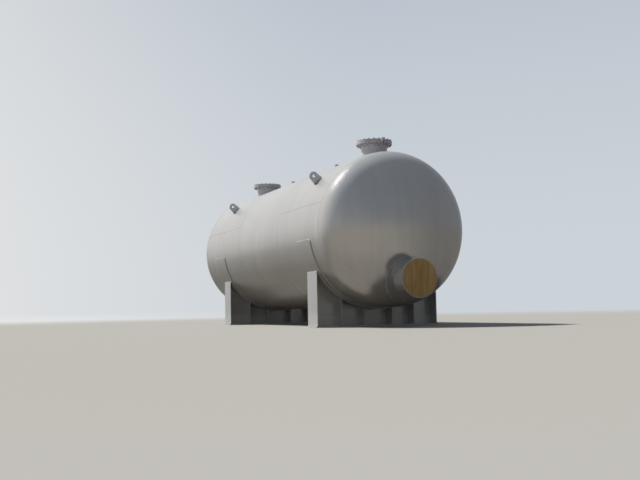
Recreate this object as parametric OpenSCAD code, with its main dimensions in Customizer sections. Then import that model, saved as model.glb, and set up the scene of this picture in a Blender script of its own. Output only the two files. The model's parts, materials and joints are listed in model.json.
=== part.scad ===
// Horizontal pressure tank: three rolled shell courses and two dished heads on two steel saddles.
// Two bolted manways and two small vents stand on top, one flanged outlet leaves the near head.
// Units are millimetres. X runs along the tank towards the near head, Z is up.
// The origin is on the ground under the middle of the near saddle.

/* [Shell] */
// Outside diameter of the rolled shell
shell_od = 3500; // [3350:10:3700]
// Shell plate thickness
shell_t = 20; // [14:1:28]
// Length of the near course, from the near head weld to the first seam
near_course_len = 2700; // [2600:10:2900]
// Length of the middle course
middle_course_len = 3100; // [3000:10:3250]
// Length of the far course
far_course_len = 3100; // [3000:10:3250]
// Distance from the near saddle's centre to the near head weld
near_end_x = 950; // [900:10:1050]
// Height of the tank's axis over the ground
axis_h = 2180; // [2100:10:2300]

/* [Heads] */
// Head plate thickness
head_t = 22; // [16:1:30]
// Straight flange of each head
head_flange_len = 50; // [40:5:70]
// Outside radius of each head's crown
crown_r = 3165; // [3100:5:3300]
// Outside radius of each head's knuckle
knuckle_r = 605; // [560:5:650]

/* [Manways] */
// Outside diameter of the manway and outlet necks
neck_od = 610; // [580:2:640]
// Wall of the manway and outlet necks
neck_t = 12; // [8:1:16]
// Outside diameter of the large flanges
flange_od = 840; // [830:2:860]
// Thickness of the large flanges
flange_t = 36; // [30:1:44]
// Bolt circle of the large flanges
flange_pcd = 770; // [760:2:780]
// Bolt holes round each large flange
flange_bolts = 20; // [16:4:24]
// Diameter of the large flanges' bolt holes
flange_hole_d = 36; // [30:1:40]
// How far each neck's end stops short of its flange face
neck_setback = 8; // [4:1:12]
// Height of the manway flange's underside over the shell's top line
manway_stand = 285; // [250:5:320]
// Thickness of the blind manway covers
cover_t = 40; // [32:1:48]
// Thickness of the gasket rings
gasket_t = 4; // [3:1:6]
// Outside diameter of the gasket rings
gasket_od = 722; // [700:2:726]
// Distance of the near manway from the near saddle's centre
near_manway_x = 250; // [200:10:300]
// Distance between the two manways
manway_spacing = 7500; // [7400:10:7600]

/* [Manway hinges] */
// Thickness of the cover's hinge ear
cover_ear_t = 30; // [20:1:36]
// Thickness of each of the flange's two hinge ears
flange_ear_t = 14; // [10:1:18]
// Side clearance between the hinge ears
ear_gap = 1; // [1:0.5:2]
// Distance of the hinge pin outside the flange's rim
pin_out = 62; // [55:1:70]
// Height of the hinge pin over the middle of the cover's thickness
pin_rise = 8; // [0:1:14]
// Diameter of the hinge pin
pin_d = 26; // [20:1:30]
// Clearance round the hinge pin
pin_gap = 0.3; // [0.3:0.1:0.6]
// How far the pin stands out past the ears at each end
pin_end = 8; // [4:1:12]
// Outside radius of the rounded ear ends
ear_r = 34; // [30:1:38]
// How far the flange's ears hang under its underside
ear_drop = 80; // [40:2:90]

/* [Outlet] */
// Distance of the outlet's axis under the tank's axis
outlet_drop = 1145; // [1120:5:1180]
// Distance of the outlet's flange face past the head's pole
outlet_reach = 365; // [340:5:400]
// Diameter of the wooden disc that closes the outlet
wood_d = 806; // [780:2:830]
// Thickness of the wooden disc
wood_t = 21; // [15:1:27]
// Diameter of the bolt holes through the wooden disc
wood_hole_d = 22; // [18:1:26]
// Bolts that hold the wooden disc
wood_bolts = 4; // [2, 4]

/* [Reinforcing pads] */
// Thickness of the reinforcing pads
pad_t = 16; // [12:1:20]
// Outside diameter of the pads round the manways and the outlet
pad_od = 950; // [900:10:980]

/* [Vents] */
// Outside diameter of the vent necks
vent_od = 34; // [27:1:42]
// Wall of the vent necks
vent_t = 4.5; // [3:0.5:6]
// Outside diameter of the vent flanges
vent_flange_od = 98; // [92:1:110]
// Thickness of the vent flanges and their blind covers
vent_flange_t = 14; // [12:1:18]
// Bolt circle of the vent flanges
vent_pcd = 70; // [66:1:74]
// Diameter of the vent flanges' bolt holes
vent_hole_d = 14; // [12:1:16]
// Height of the vent flange's underside over the shell's top line
vent_stand = 140; // [120:5:160]
// Distance of each vent from the seam beside it
vent_off_seam = 150; // [120:10:200]

/* [Lifting lugs] */
// Angle of the lifting lugs from the top line
lug_angle = 46.5; // [42:0.5:50]
// Thickness of each lug plate
lug_t = 40; // [30:1:50]
// Width of each lug at the shell
lug_w = 240; // [225:5:270]
// Height of the lug's eye over the shell
lug_eye_h = 155; // [140:5:180]
// Radius of the lug's rounded end
lug_r = 102; // [90:1:108]
// Diameter of the lug's eye
lug_eye_d = 70; // [60:2:84]
// How far the near lugs sit inboard of the near saddle's centre
near_lug_in = 150; // [100:10:200]
// How far the far lugs sit inboard of the far saddle's centre
far_lug_in = 130; // [80:10:200]

/* [Saddles] */
// Distance between the two saddles
saddle_spacing = 6580; // [6500:10:6650]
// Length of each saddle along the tank
saddle_len = 560; // [500:10:600]
// Half of the arc that each saddle's cradle covers
cradle_angle = 59; // [58:1:63]
// Thickness of the rolled cradle plate
cradle_t = 20; // [16:1:26]
// Thickness of the wear plate between cradle and shell
wear_t = 16; // [12:1:20]
// Half of the arc that the wear plate covers
wear_angle = 83; // [78:1:86]
// Length of the wear plate along the tank
wear_len = 860; // [800:10:900]
// Corner radius of the wear plate
wear_corner_r = 70; // [50:5:90]
// Thickness of the saddle's transverse web
web_t = 20; // [14:1:26]
// Thickness of the saddle's end plates
end_plate_t = 20; // [16:1:26]
// Thickness of the saddle's ribs
rib_t = 16; // [12:1:20]
// Distance of the inner ribs from the centre plane
inner_rib_y = 350; // [320:5:380]
// Distance of the outer ribs from the centre plane
outer_rib_y = 925; // [900:5:980]

/* [Base plates] */
// Thickness of the base plates
base_t = 30; // [24:1:36]
// How far the base plate stands out past the end plates
base_ledge = 20; // [10:1:40]
// Distance between the anchor holes along the tank
anchor_dx = 340; // [300:10:380]
// Distance of the anchor holes from the centre plane
anchor_y = 1240; // [1200:10:1280]
// Diameter of the anchor holes
anchor_d = 39; // [33:1:42]
// End to end length of the far saddle's slotted anchor holes
slot_len = 90; // [70:2:110]

/* [Hidden] */
// Gap left between curved faces that touch
seat_gap = 0.3;
// Segments of the preview's circles, and of those that large curved faces are cut with
$fn = 96;
fine = 360;
shell_r = shell_od / 2;
shell_ri = shell_r - shell_t;
far_end_x = near_end_x - near_course_len - middle_course_len - far_course_len;
near_seam_x = near_end_x - near_course_len;
far_seam_x = far_end_x + far_course_len;
crown_drop = sqrt(pow(crown_r - knuckle_r, 2) - pow(shell_r - knuckle_r, 2));
crown_half = asin((shell_r - knuckle_r) / (crown_r - knuckle_r));
head_h = crown_r - crown_drop;
manway_face_z = shell_r + manway_stand + flange_t;
pin_z = manway_face_z + gasket_t + cover_t / 2 + pin_rise;
far_manway_x = near_manway_x - manway_spacing;
near_vent_x = near_seam_x - vent_off_seam;
far_vent_x = far_seam_x - vent_off_seam;
outlet_face_x = near_end_x + head_flange_len + head_h + outlet_reach;
wear_r = shell_r + seat_gap + wear_t;
cradle_r = wear_r + seat_gap + cradle_t;
saddle_r = cradle_r + seat_gap;
end_y = cradle_r * sin(cradle_angle);
horn_z = axis_h - saddle_r * cos(cradle_angle);
far_saddle_x = -saddle_spacing;
ear_w = cover_ear_t + 2 * ear_gap + 2 * flange_ear_t;
lug_far_x = far_saddle_x + far_lug_in;

// Turns a shape made along Z so that it runs along the tank, from x onwards
module along_tank(x) {
    translate([x, 0, axis_h])
        rotate([0, 90, 0])
            children();
}

// Puts a shape made along Z upright over the tank's axis at x
module on_top(x) {
    translate([x, 0, axis_h])
        children();
}

// Ring of holes along Z
module hole_ring(pcd, count, d, z, h) {
    for (i = [0 : count - 1])
        rotate([0, 0, (i + 0.5) * 360 / count])
            translate([pcd / 2, 0, z])
                cylinder(h = h, d = d, $fn = 32);
}

// Flat ring along Z
module ring(od, id, h, sides = 180) {
    difference() {
        cylinder(h = h, d = od, $fn = sides);
        translate([0, 0, -1])
            cylinder(h = h + 2, d = id, $fn = sides);
    }
}

// Rolled course with its radial nozzle holes, each given as its place and diameter
module course(x, len, holes) {
    difference() {
        along_tank(x)
            ring(shell_od, 2 * shell_ri, len);
        for (hole = holes)
            on_top(hole[0])
                cylinder(h = shell_r + 10, d = hole[1] + 2 * seat_gap);
    }
}

// Half profile of a filled dished head, off outside its outer face, with a straight flange behind it
module dome(off, back) {
    knuckle_x = shell_r - knuckle_r;
    run = knuckle_r + off + 200;
    intersection() {
        translate([0, -crown_drop])
            circle(r = crown_r + off, $fn = fine);
        polygon([
            [0, 0],
            [knuckle_x, 0],
            [knuckle_x + run * sin(crown_half), run * cos(crown_half)],
            [0, crown_r]
        ]);
    }
    intersection() {
        translate([knuckle_x, 0])
            circle(r = knuckle_r + off, $fn = fine);
        translate([knuckle_x - 10, 0])
            square([knuckle_r + 110, knuckle_r + 110]);
    }
    translate([0, -back])
        square([shell_r + off, back]);
}

// Dished plate along Z between two offsets of the head's outer face, its tangent line at z = 0
module dished(outer, inner, back) {
    rotate_extrude(angle = 360, $fn = fine)
        difference() {
            dome(outer, back);
            dome(inner, back + 10);
        }
}

module head_shell() {
    dished(0, -head_t, head_flange_len);
}

// Everything inside the head, from behind its straight flange
module head_hollow() {
    rotate_extrude(angle = 360, $fn = fine)
        dome(-head_t, head_flange_len + 10);
}

module near_head_frame() {
    along_tank(near_end_x + head_flange_len)
        children();
}

// Reinforcing pad of a manway, rolled to the shell
module manway_pad(x) {
    intersection() {
        along_tank(x - pad_od)
            ring(2 * (shell_r + seat_gap + pad_t), 2 * (shell_r + seat_gap), 2 * pad_od, fine);
        on_top(x)
            ring(pad_od, neck_od + 2 * seat_gap, shell_r + 2 * pad_t, fine);
    }
}

// Straight neck, its lower end cut to the inside of the shell
module manway_neck(x) {
    difference() {
        on_top(x)
            ring(neck_od, neck_od - 2 * neck_t, manway_face_z - neck_setback);
        along_tank(x - neck_od)
            cylinder(h = 2 * neck_od, r = shell_ri, $fn = fine);
    }
}

// Side outline of a hinge ear in the plane of the cover, rounded about the pin
module ear_outline(z_low, z_pin) {
    translate([flange_od / 2 + pin_out, z_pin])
        circle(r = ear_r, $fn = 48);
    translate([flange_od / 2 - 12, z_low])
        square([pin_out + 12, z_pin + ear_r - z_low]);
}

// Ear plate standing across Y between two side faces, side is the way it faces along X
module ear(z_low, z_pin, y_low, t) {
    difference() {
        translate([0, y_low + t, 0])
            rotate([90, 0, 0])
                linear_extrude(height = t)
                    ear_outline(z_low, z_pin);
        translate([flange_od / 2 + pin_out, y_low - 1, z_pin])
            rotate([-90, 0, 0])
                cylinder(h = t + 2, d = pin_d + 2 * pin_gap, $fn = 48);
    }
}

// Slip-on flange with two hinge ears on the side that faces along X
module manway_flange(x, side) {
    z = shell_r + manway_stand;
    on_top(x)
        mirror([side < 0 ? 1 : 0, 0, 0])
            difference() {
                union() {
                    translate([0, 0, z])
                        cylinder(h = flange_t, d = flange_od);
                    for (low = [cover_ear_t / 2 + ear_gap, -cover_ear_t / 2 - ear_gap - flange_ear_t])
                        ear(z - ear_drop, pin_z, low, flange_ear_t);
                }
                translate([0, 0, z - ear_drop - 1])
                    cylinder(h = flange_t + ear_drop + 2, d = neck_od + 2 * seat_gap);
                translate([0, 0, manway_face_z])
                    cylinder(h = gasket_t + cover_t + ear_r, d = flange_od + 2);
                hole_ring(flange_pcd, flange_bolts, flange_hole_d, z - ear_drop - 1, flange_t + ear_drop + 2);
            }
}

module manway_gasket(x) {
    on_top(x)
        translate([0, 0, manway_face_z])
            ring(gasket_od, neck_od + 2 * seat_gap, gasket_t);
}

// Blind cover with the hinge ear that stands between the flange's two
module manway_cover(x, side) {
    z = manway_face_z + gasket_t;
    on_top(x)
        mirror([side < 0 ? 1 : 0, 0, 0])
            difference() {
                union() {
                    translate([0, 0, z])
                        cylinder(h = cover_t, d = flange_od);
                    ear(z, pin_z, -cover_ear_t / 2, cover_ear_t);
                }
                hole_ring(flange_pcd, flange_bolts, flange_hole_d, z - 1, cover_t + 2);
            }
}

module manway_hinge_pin(x, side) {
    on_top(x)
        translate([side * (flange_od / 2 + pin_out), -ear_w / 2 - pin_end, pin_z])
            rotate([-90, 0, 0])
                cylinder(h = ear_w + 2 * pin_end, d = pin_d, $fn = 48);
}

// Nozzle with its flange welded on, its lower end cut to the inside of the shell
module vent_nozzle(x) {
    difference() {
        on_top(x)
            union() {
                cylinder(h = shell_r + vent_stand + vent_flange_t, d = vent_od, $fn = 48);
                translate([0, 0, shell_r + vent_stand])
                    cylinder(h = vent_flange_t, d = vent_flange_od);
            }
        on_top(x)
            cylinder(h = shell_r + vent_stand + vent_flange_t + 1, d = vent_od - 2 * vent_t, $fn = 48);
        on_top(x)
            hole_ring(vent_pcd, 4, vent_hole_d, shell_r + vent_stand - 1, vent_flange_t + 2);
        along_tank(x - vent_flange_od)
            cylinder(h = 2 * vent_flange_od, r = shell_ri, $fn = fine);
    }
}

module vent_cover(x) {
    on_top(x)
        translate([0, 0, shell_r + vent_stand + vent_flange_t])
            difference() {
                cylinder(h = vent_flange_t, d = vent_flange_od);
                hole_ring(vent_pcd, 4, vent_hole_d, -1, vent_flange_t + 2);
            }
}

// Lug plate across the tank, its foot cut to the shell; side is the way it leans along Y
module lug(x, side) {
    d = sqrt(pow(lug_w / 2, 2) + pow(lug_eye_h, 2));
    lean = atan2(lug_eye_h, -lug_w / 2) - asin(lug_r / d);
    run = sqrt(d * d - lug_r * lug_r);
    tip_y = lug_w / 2 + run * cos(lean);
    tip_z = run * sin(lean);
    difference() {
        translate([x, 0, axis_h])
            rotate([-side * lug_angle, 0, 0])
                rotate([90, 0, 90])
                    linear_extrude(height = lug_t, center = true)
                        difference() {
                            union() {
                                translate([0, shell_r + lug_eye_h])
                                    circle(r = lug_r);
                                polygon([
                                    [-lug_w / 2, shell_r - 40],
                                    [lug_w / 2, shell_r - 40],
                                    [lug_w / 2, shell_r],
                                    [tip_y, shell_r + tip_z],
                                    [0, shell_r + lug_eye_h],
                                    [-tip_y, shell_r + tip_z],
                                    [-lug_w / 2, shell_r]
                                ]);
                            }
                            translate([0, shell_r + lug_eye_h])
                                circle(d = lug_eye_d);
                        }
        along_tank(x - lug_t)
            cylinder(h = 2 * lug_t, r = shell_r + seat_gap, $fn = fine);
    }
}

// Sector of a rolled plate under the tank, its half arc measured from straight down
module rolled_arc(x, r_out, t, len, half_angle) {
    along_tank(x - len / 2)
        rotate([0, 0, -half_angle])
            rotate_extrude(angle = 2 * half_angle, $fn = fine)
                translate([r_out - t, 0])
                    square([t, len]);
}

// Rolled wear plate with rounded corners at its two upper ends
module wear_plate(x) {
    top_z = axis_h - (wear_r - wear_t) * cos(wear_angle);
    intersection() {
        rolled_arc(x, wear_r, wear_t, wear_len, wear_angle);
        translate([x, 2 * shell_od, 0])
            rotate([90, 0, 0])
                linear_extrude(height = 4 * shell_od)
                    union() {
                        translate([-wear_len / 2, 0])
                            square([wear_len, top_z - wear_corner_r]);
                        translate([-wear_len / 2 + wear_corner_r, 0])
                            square([wear_len - 2 * wear_corner_r, top_z + 20]);
                        for (s = [-1, 1])
                            translate([s * (wear_len / 2 - wear_corner_r), top_z - wear_corner_r])
                                circle(r = wear_corner_r, $fn = 48);
                    }
    }
}

module cradle(x) {
    rolled_arc(x, cradle_r, cradle_t, saddle_len, cradle_angle);
}

// Space that the tank and its cradle take, cut from the plates that stand under it
module cradle_space(x) {
    along_tank(x - saddle_len)
        cylinder(h = 2 * saddle_len, r = saddle_r, $fn = fine);
}

module web(x) {
    difference() {
        translate([x - web_t / 2, -end_y + end_plate_t, base_t])
            cube([web_t, 2 * (end_y - end_plate_t), horn_z - base_t]);
        cradle_space(x);
    }
}

module end_plates(x) {
    for (s = [0, 1])
        mirror([0, s, 0])
            difference() {
                translate([x - saddle_len / 2, end_y - end_plate_t, base_t])
                    cube([saddle_len, end_plate_t, horn_z - base_t]);
                cradle_space(x);
            }
}

// Ribs on both faces of the web, each cut to the cradle above it
module ribs(x) {
    for (face = [-1, 1])
        for (y = [-outer_rib_y, -inner_rib_y, inner_rib_y, outer_rib_y])
            difference() {
                translate([face > 0 ? x + web_t / 2 : x - saddle_len / 2, y - rib_t / 2, base_t])
                    cube([saddle_len / 2 - web_t / 2, rib_t, horn_z - base_t]);
                cradle_space(x);
            }
}

// Base plate with its four anchor holes, slotted by the extra length
module base_plate(x, slot) {
    difference() {
        translate([x - saddle_len / 2, -end_y - base_ledge, 0])
            cube([saddle_len, 2 * (end_y + base_ledge), base_t]);
        for (sx = [-1, 1], sy = [-1, 1])
            translate([x + sx * anchor_dx / 2, sy * anchor_y, -1]) {
                for (e = [-1, 1])
                    translate([e * slot / 2, 0, 0])
                        cylinder(h = base_t + 2, d = anchor_d, $fn = 48);
                if (slot > 0)
                    translate([-slot / 2, -anchor_d / 2, 0])
                        cube([slot, anchor_d, base_t + 2]);
            }
    }
}

module shell_course_near() {
    color("gainsboro")
        course(near_seam_x, near_course_len, [[near_manway_x, neck_od]]);
}

module shell_course_middle() {
    color("gainsboro")
        course(far_seam_x, middle_course_len, [[near_vent_x, vent_od]]);
}

module shell_course_far() {
    color("gainsboro")
        course(far_end_x, far_course_len, [[far_manway_x, neck_od], [far_vent_x, vent_od]]);
}

module head_near() {
    color("silver")
        near_head_frame()
            difference() {
                head_shell();
                translate([outlet_drop, 0, -10])
                    cylinder(h = head_h + 100, d = neck_od + 2 * seat_gap);
            }
}

module head_far() {
    color("silver")
        translate([far_end_x - head_flange_len, 0, axis_h])
            rotate([0, -90, 0])
                head_shell();
}

module near_manway_pad() {
    color("lightgray")
        manway_pad(near_manway_x);
}

module near_manway_neck() {
    color("silver")
        manway_neck(near_manway_x);
}

module near_manway_flange() {
    color("darkgray")
        manway_flange(near_manway_x, 1);
}

module near_manway_gasket() {
    color("dimgray")
        manway_gasket(near_manway_x);
}

module near_manway_cover() {
    color("lightgray")
        manway_cover(near_manway_x, 1);
}

module near_manway_hinge_pin() {
    color("dimgray")
        manway_hinge_pin(near_manway_x, 1);
}

module far_manway_pad() {
    color("lightgray")
        manway_pad(far_manway_x);
}

module far_manway_neck() {
    color("silver")
        manway_neck(far_manway_x);
}

module far_manway_flange() {
    color("darkgray")
        manway_flange(far_manway_x, -1);
}

module far_manway_gasket() {
    color("dimgray")
        manway_gasket(far_manway_x);
}

module far_manway_cover() {
    color("lightgray")
        manway_cover(far_manway_x, -1);
}

module far_manway_hinge_pin() {
    color("dimgray")
        manway_hinge_pin(far_manway_x, -1);
}

// Dished reinforcing pad round the outlet, formed to the head
module outlet_pad() {
    color("silver")
        near_head_frame()
            intersection() {
                dished(seat_gap + pad_t, seat_gap, 20);
                translate([outlet_drop, 0, 0])
                    ring(pad_od, neck_od + 2 * seat_gap, head_h + 2 * pad_t, fine);
            }
}

// Outlet neck along the tank, its inner end cut to the inside of the head
module outlet_neck() {
    color("silver")
        near_head_frame()
            difference() {
                translate([outlet_drop, 0, 0])
                    ring(neck_od, neck_od - 2 * neck_t, head_h + outlet_reach - neck_setback);
                head_hollow();
            }
}

module outlet_flange() {
    color("darkgray")
        along_tank(outlet_face_x - flange_t)
            translate([outlet_drop, 0, 0])
                difference() {
                    ring(flange_od, neck_od + 2 * seat_gap, flange_t);
                    hole_ring(flange_pcd, flange_bolts, flange_hole_d, -1, flange_t + 2);
                }
}

module outlet_wood_cover() {
    color("peru")
        along_tank(outlet_face_x)
            translate([outlet_drop, 0, 0])
                difference() {
                    cylinder(h = wood_t, d = wood_d);
                    for (i = [0 : wood_bolts - 1])
                        rotate([0, 0, (i * flange_bolts / wood_bolts + 0.5) * 360 / flange_bolts])
                            translate([flange_pcd / 2, 0, -1])
                                cylinder(h = wood_t + 2, d = wood_hole_d, $fn = 32);
                }
}

module near_vent_nozzle() {
    color("darkgray")
        vent_nozzle(near_vent_x);
}

module near_vent_cover() {
    color("gray")
        vent_cover(near_vent_x);
}

module far_vent_nozzle() {
    color("darkgray")
        vent_nozzle(far_vent_x);
}

module far_vent_cover() {
    color("gray")
        vent_cover(far_vent_x);
}

module near_left_lug() {
    color("gray")
        lug(-near_lug_in, 1);
}

module near_right_lug() {
    color("gray")
        lug(-near_lug_in, -1);
}

module far_left_lug() {
    color("gray")
        lug(lug_far_x, 1);
}

module far_right_lug() {
    color("gray")
        lug(lug_far_x, -1);
}

module near_wear_plate() {
    color("lightgray")
        wear_plate(0);
}

module near_cradle() {
    color("darkgray")
        cradle(0);
}

module near_web() {
    color("gray")
        web(0);
}

module near_end_plates() {
    color("gainsboro")
        end_plates(0);
}

module near_ribs() {
    color("gray")
        ribs(0);
}

module near_base_plate() {
    color("silver")
        base_plate(0, 0);
}

module far_wear_plate() {
    color("lightgray")
        wear_plate(far_saddle_x);
}

module far_cradle() {
    color("darkgray")
        cradle(far_saddle_x);
}

module far_web() {
    color("gray")
        web(far_saddle_x);
}

module far_end_plates() {
    color("gainsboro")
        end_plates(far_saddle_x);
}

module far_ribs() {
    color("gray")
        ribs(far_saddle_x);
}

module far_base_plate() {
    color("silver")
        base_plate(far_saddle_x, slot_len - anchor_d);
}

shell_course_near();
shell_course_middle();
shell_course_far();
head_near();
head_far();
near_manway_pad();
near_manway_neck();
near_manway_flange();
near_manway_gasket();
near_manway_cover();
near_manway_hinge_pin();
far_manway_pad();
far_manway_neck();
far_manway_flange();
far_manway_gasket();
far_manway_cover();
far_manway_hinge_pin();
outlet_pad();
outlet_neck();
outlet_flange();
outlet_wood_cover();
near_vent_nozzle();
near_vent_cover();
far_vent_nozzle();
far_vent_cover();
near_left_lug();
near_right_lug();
far_left_lug();
far_right_lug();
near_wear_plate();
near_cradle();
near_web();
near_end_plates();
near_ribs();
near_base_plate();
far_wear_plate();
far_cradle();
far_web();
far_end_plates();
far_ribs();
far_base_plate();
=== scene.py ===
# %% [markdown]
# # A horizontal pressure tank on two saddles
#
# The solids of this tank come from its CAD source, in metres. X runs along the tank towards the near
# head, Z is up, and the ground is at Z = 0. Blender adds what the solids leave out: paint with its dust
# and rain streaks, a painted sheen on what faces up, weld beads, bolts and nuts, the grain of the wooden
# outlet cover, and the light. The solids could also be modelled again here, but then two versions would
# have to be kept alike, so they are only dressed.

# %% Load the imported solids
import json
import math

import bmesh
import bpy
from mathutils import Matrix, Vector


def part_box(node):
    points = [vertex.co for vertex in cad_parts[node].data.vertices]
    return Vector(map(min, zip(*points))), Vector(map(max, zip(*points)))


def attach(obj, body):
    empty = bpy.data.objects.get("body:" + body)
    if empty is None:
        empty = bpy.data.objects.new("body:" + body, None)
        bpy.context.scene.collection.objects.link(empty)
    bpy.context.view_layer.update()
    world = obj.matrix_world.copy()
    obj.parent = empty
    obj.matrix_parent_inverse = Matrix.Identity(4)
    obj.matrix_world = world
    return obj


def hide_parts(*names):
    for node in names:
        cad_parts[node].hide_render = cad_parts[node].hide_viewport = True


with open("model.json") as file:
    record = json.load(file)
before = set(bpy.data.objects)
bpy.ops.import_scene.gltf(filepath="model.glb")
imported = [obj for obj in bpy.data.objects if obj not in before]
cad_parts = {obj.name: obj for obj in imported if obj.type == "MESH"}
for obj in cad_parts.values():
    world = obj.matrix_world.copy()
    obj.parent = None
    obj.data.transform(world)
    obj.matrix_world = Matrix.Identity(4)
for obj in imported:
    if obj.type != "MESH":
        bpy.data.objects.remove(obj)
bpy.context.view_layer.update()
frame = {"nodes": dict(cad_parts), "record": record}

solids = frame["nodes"]

# %% [markdown]
# ## Places that the new pieces share with the solids
#
# Weld beads and bolts have to sit on the solids. Typing their places again would be quick, but they would
# be left behind when the source changes, so they are read from the solids' boxes. Only what a box can't
# show, such as a bolt circle, is written where it is first needed.

# %% Places on the tank
shell_low, shell_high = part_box("shell_course_middle")
AXIS_Z = (shell_low.z + shell_high.z) / 2
SHELL_R = (shell_high.z - shell_low.z) / 2
NEAR_SEAM_X, FAR_SEAM_X = shell_high.x, shell_low.x
NEAR_WELD_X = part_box("shell_course_near")[1].x
FAR_WELD_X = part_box("shell_course_far")[0].x
print("shell radius", round(SHELL_R, 3), "axis height", round(AXIS_Z, 3))


def middle(node):
    """The middle of a solid's box."""
    low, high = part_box(node)
    return (low + high) / 2


# %% [markdown]
# ## The camera
#
# The photo was taken from in front of the near head, on the tank's right and a little under its axis, so
# its sides run together towards the far head. Turning a camera by eye would do for a sketch, but here its
# place was worked out from the outline of the tank, so it is set from its exact place and angles.

# %% Camera at the photo's place
CAMERA_PLACE = Vector((18.3625, -9.0778, AXIS_Z - 1.7446))
YAW, PITCH, ROLL = 0.400, 0.078, -0.01997
LENS, SENSOR, CLIP_END = 49.145, 36, 600

ahead = Vector((-math.cos(YAW) * math.cos(PITCH), math.sin(YAW) * math.cos(PITCH), math.sin(PITCH)))
level_right = ahead.cross(Vector((0, 0, 1))).normalized()
level_up = level_right.cross(ahead)
right = level_right * math.cos(ROLL) + level_up * math.sin(ROLL)
up = level_up * math.cos(ROLL) - level_right * math.sin(ROLL)
turn = Matrix((right, up, -ahead)).transposed().to_euler()
bpy.ops.object.camera_add(location=CAMERA_PLACE, rotation=turn)
camera = bpy.context.active_object
camera.data.sensor_width = SENSOR
camera.data.lens = LENS
camera.data.clip_end = CLIP_END
bpy.context.scene.camera = camera
print("camera looks along", [round(c, 3) for c in ahead])

# %% [markdown]
# ## Shader sums as Python
#
# A finish is a sum of masks: dust where a face looks up, which on the shell and saddles is also a
# painted sheen, streaks where rain ran, rust where a coat has pits. Clicking such sums together node by
# node hides the idea, so this small class wraps one socket. Plus, minus and times on it add Math nodes,
# and one method adds any other node.

# %% The socket class
class Wire:
    """One socket of a node tree. Sums of wires and numbers add Math nodes."""

    def __init__(self, tree, socket):
        self.tree = tree
        self.socket = socket

    def node(self, kind, settings=None, sockets=None, output=0):
        """Adds a node, sets it up, fills its inputs with numbers or wires, and gives one output."""
        made = self.tree.nodes.new(kind)
        for name, value in (settings or {}).items():
            setattr(made, name, value)
        for key, value in (sockets or {}).items():
            if isinstance(value, Wire):
                self.tree.links.new(value.socket, made.inputs[key])
            else:
                made.inputs[key].default_value = value
        return Wire(self.tree, made.outputs[output])

    def out(self, name):
        """Another output of the node that this wire comes from."""
        return Wire(self.tree, self.socket.node.outputs[name])

    def sum_node(self, operation, first, second):
        """A Math node on two wires or numbers."""
        return self.node("ShaderNodeMath", {"operation": operation}, {0: first, 1: second})

    def __add__(self, other):
        return self.sum_node("ADD", self, other)

    def __radd__(self, other):
        return self.sum_node("ADD", other, self)

    def __sub__(self, other):
        return self.sum_node("SUBTRACT", self, other)

    def __rsub__(self, other):
        return self.sum_node("SUBTRACT", other, self)

    def __mul__(self, other):
        return self.sum_node("MULTIPLY", self, other)

    def __rmul__(self, other):
        return self.sum_node("MULTIPLY", other, self)


print("shader sums ready")

# %% [markdown]
# ## Words for a finish
#
# Some masks come back in every finish: noise stretched along some direction, a soft step that turns noise
# into patches, one part of a place, and how far the surface looks up or sideways. They could be typed out
# as nodes each time, but a finish reads better when each has a short name.

# %% A new finish, and helpers for masks
def new_finish(name):
    """A material with a plain Principled shader, and the wire that its nodes start from."""
    finish = bpy.data.materials.new(name)
    finish.use_nodes = True
    tree = finish.node_tree
    place = tree.nodes.new("ShaderNodeTexCoord")
    return finish, Wire(tree, place.outputs["Object"])


def noise(place, stretch, detail=3.0, roughness=0.55, shift=(0, 0, 0)):
    """Noise with a feature every 1 / stretch metres along each axis."""
    moved = place.node("ShaderNodeMapping", {}, {"Vector": place, "Scale": stretch, "Location": shift})
    sockets = {"Vector": moved, "Scale": 1.0, "Detail": detail, "Roughness": roughness}
    return place.node("ShaderNodeTexNoise", {}, sockets)


def step(mask, low, high, bottom=0.0, top=1.0):
    """A soft step: bottom where the mask is under low, top where it is over high."""
    return mask.node(
        "ShaderNodeMapRange", {"interpolation_type": "SMOOTHSTEP"},
        {"Value": mask, "From Min": low, "From Max": high, "To Min": bottom, "To Max": top},
    )


def part(vector, axis):
    """The X, Y or Z part of a place or a direction."""
    return vector.node("ShaderNodeSeparateXYZ", {}, {0: vector}, output="XYZ".index(axis))


def length(vector):
    """How long a vector is."""
    return vector.node("ShaderNodeVectorMath", {"operation": "LENGTH"}, {0: vector}, output=1)


def facing(place, axis):
    """How far the surface faces along X, Y or Z, from -1 to 1."""
    return part(place.node("ShaderNodeNewGeometry", output=1), axis)


print("mask helpers ready")

# %% [markdown]
# ## Colours, bumps and the shader
#
# Colours go through Mix nodes, because a Math node would turn them grey. A dished head of the packed
# solids has one thin triangle at its pole, which bends the smooth shading close to the axis. Its mesh
# could be mended, but the solids stay as they are, so the paint reads each face's own normal there.

# %% Helpers for colours and surfaces
def blend(mask, below, above):
    """The colour below where the mask is 0, and above where it is 1."""
    return mask.node("ShaderNodeMix", {"data_type": "RGBA"}, {0: mask, 6: below, 7: above}, output=2)


def grey(value, warmth=0.0):
    """A near-grey colour, warmer above 0 and cooler below."""
    return (value * (1 + warmth), value, value * (1 - warmth), 1)


def shade(colour, factor):
    """A colour made lighter or darker, still opaque."""
    return tuple(c * factor for c in colour[:3]) + (1,)


def bump(place, height, strength, distance, **normal):
    """A Bump node for the shader's Normal."""
    sockets = {"Strength": strength, "Distance": distance, "Height": height, **normal}
    return place.node("ShaderNodeBump", {}, sockets)


# Metres from the tank's axis over which one normal gives way to the other.
AT_POLE = (0.08, 0.09)


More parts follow.
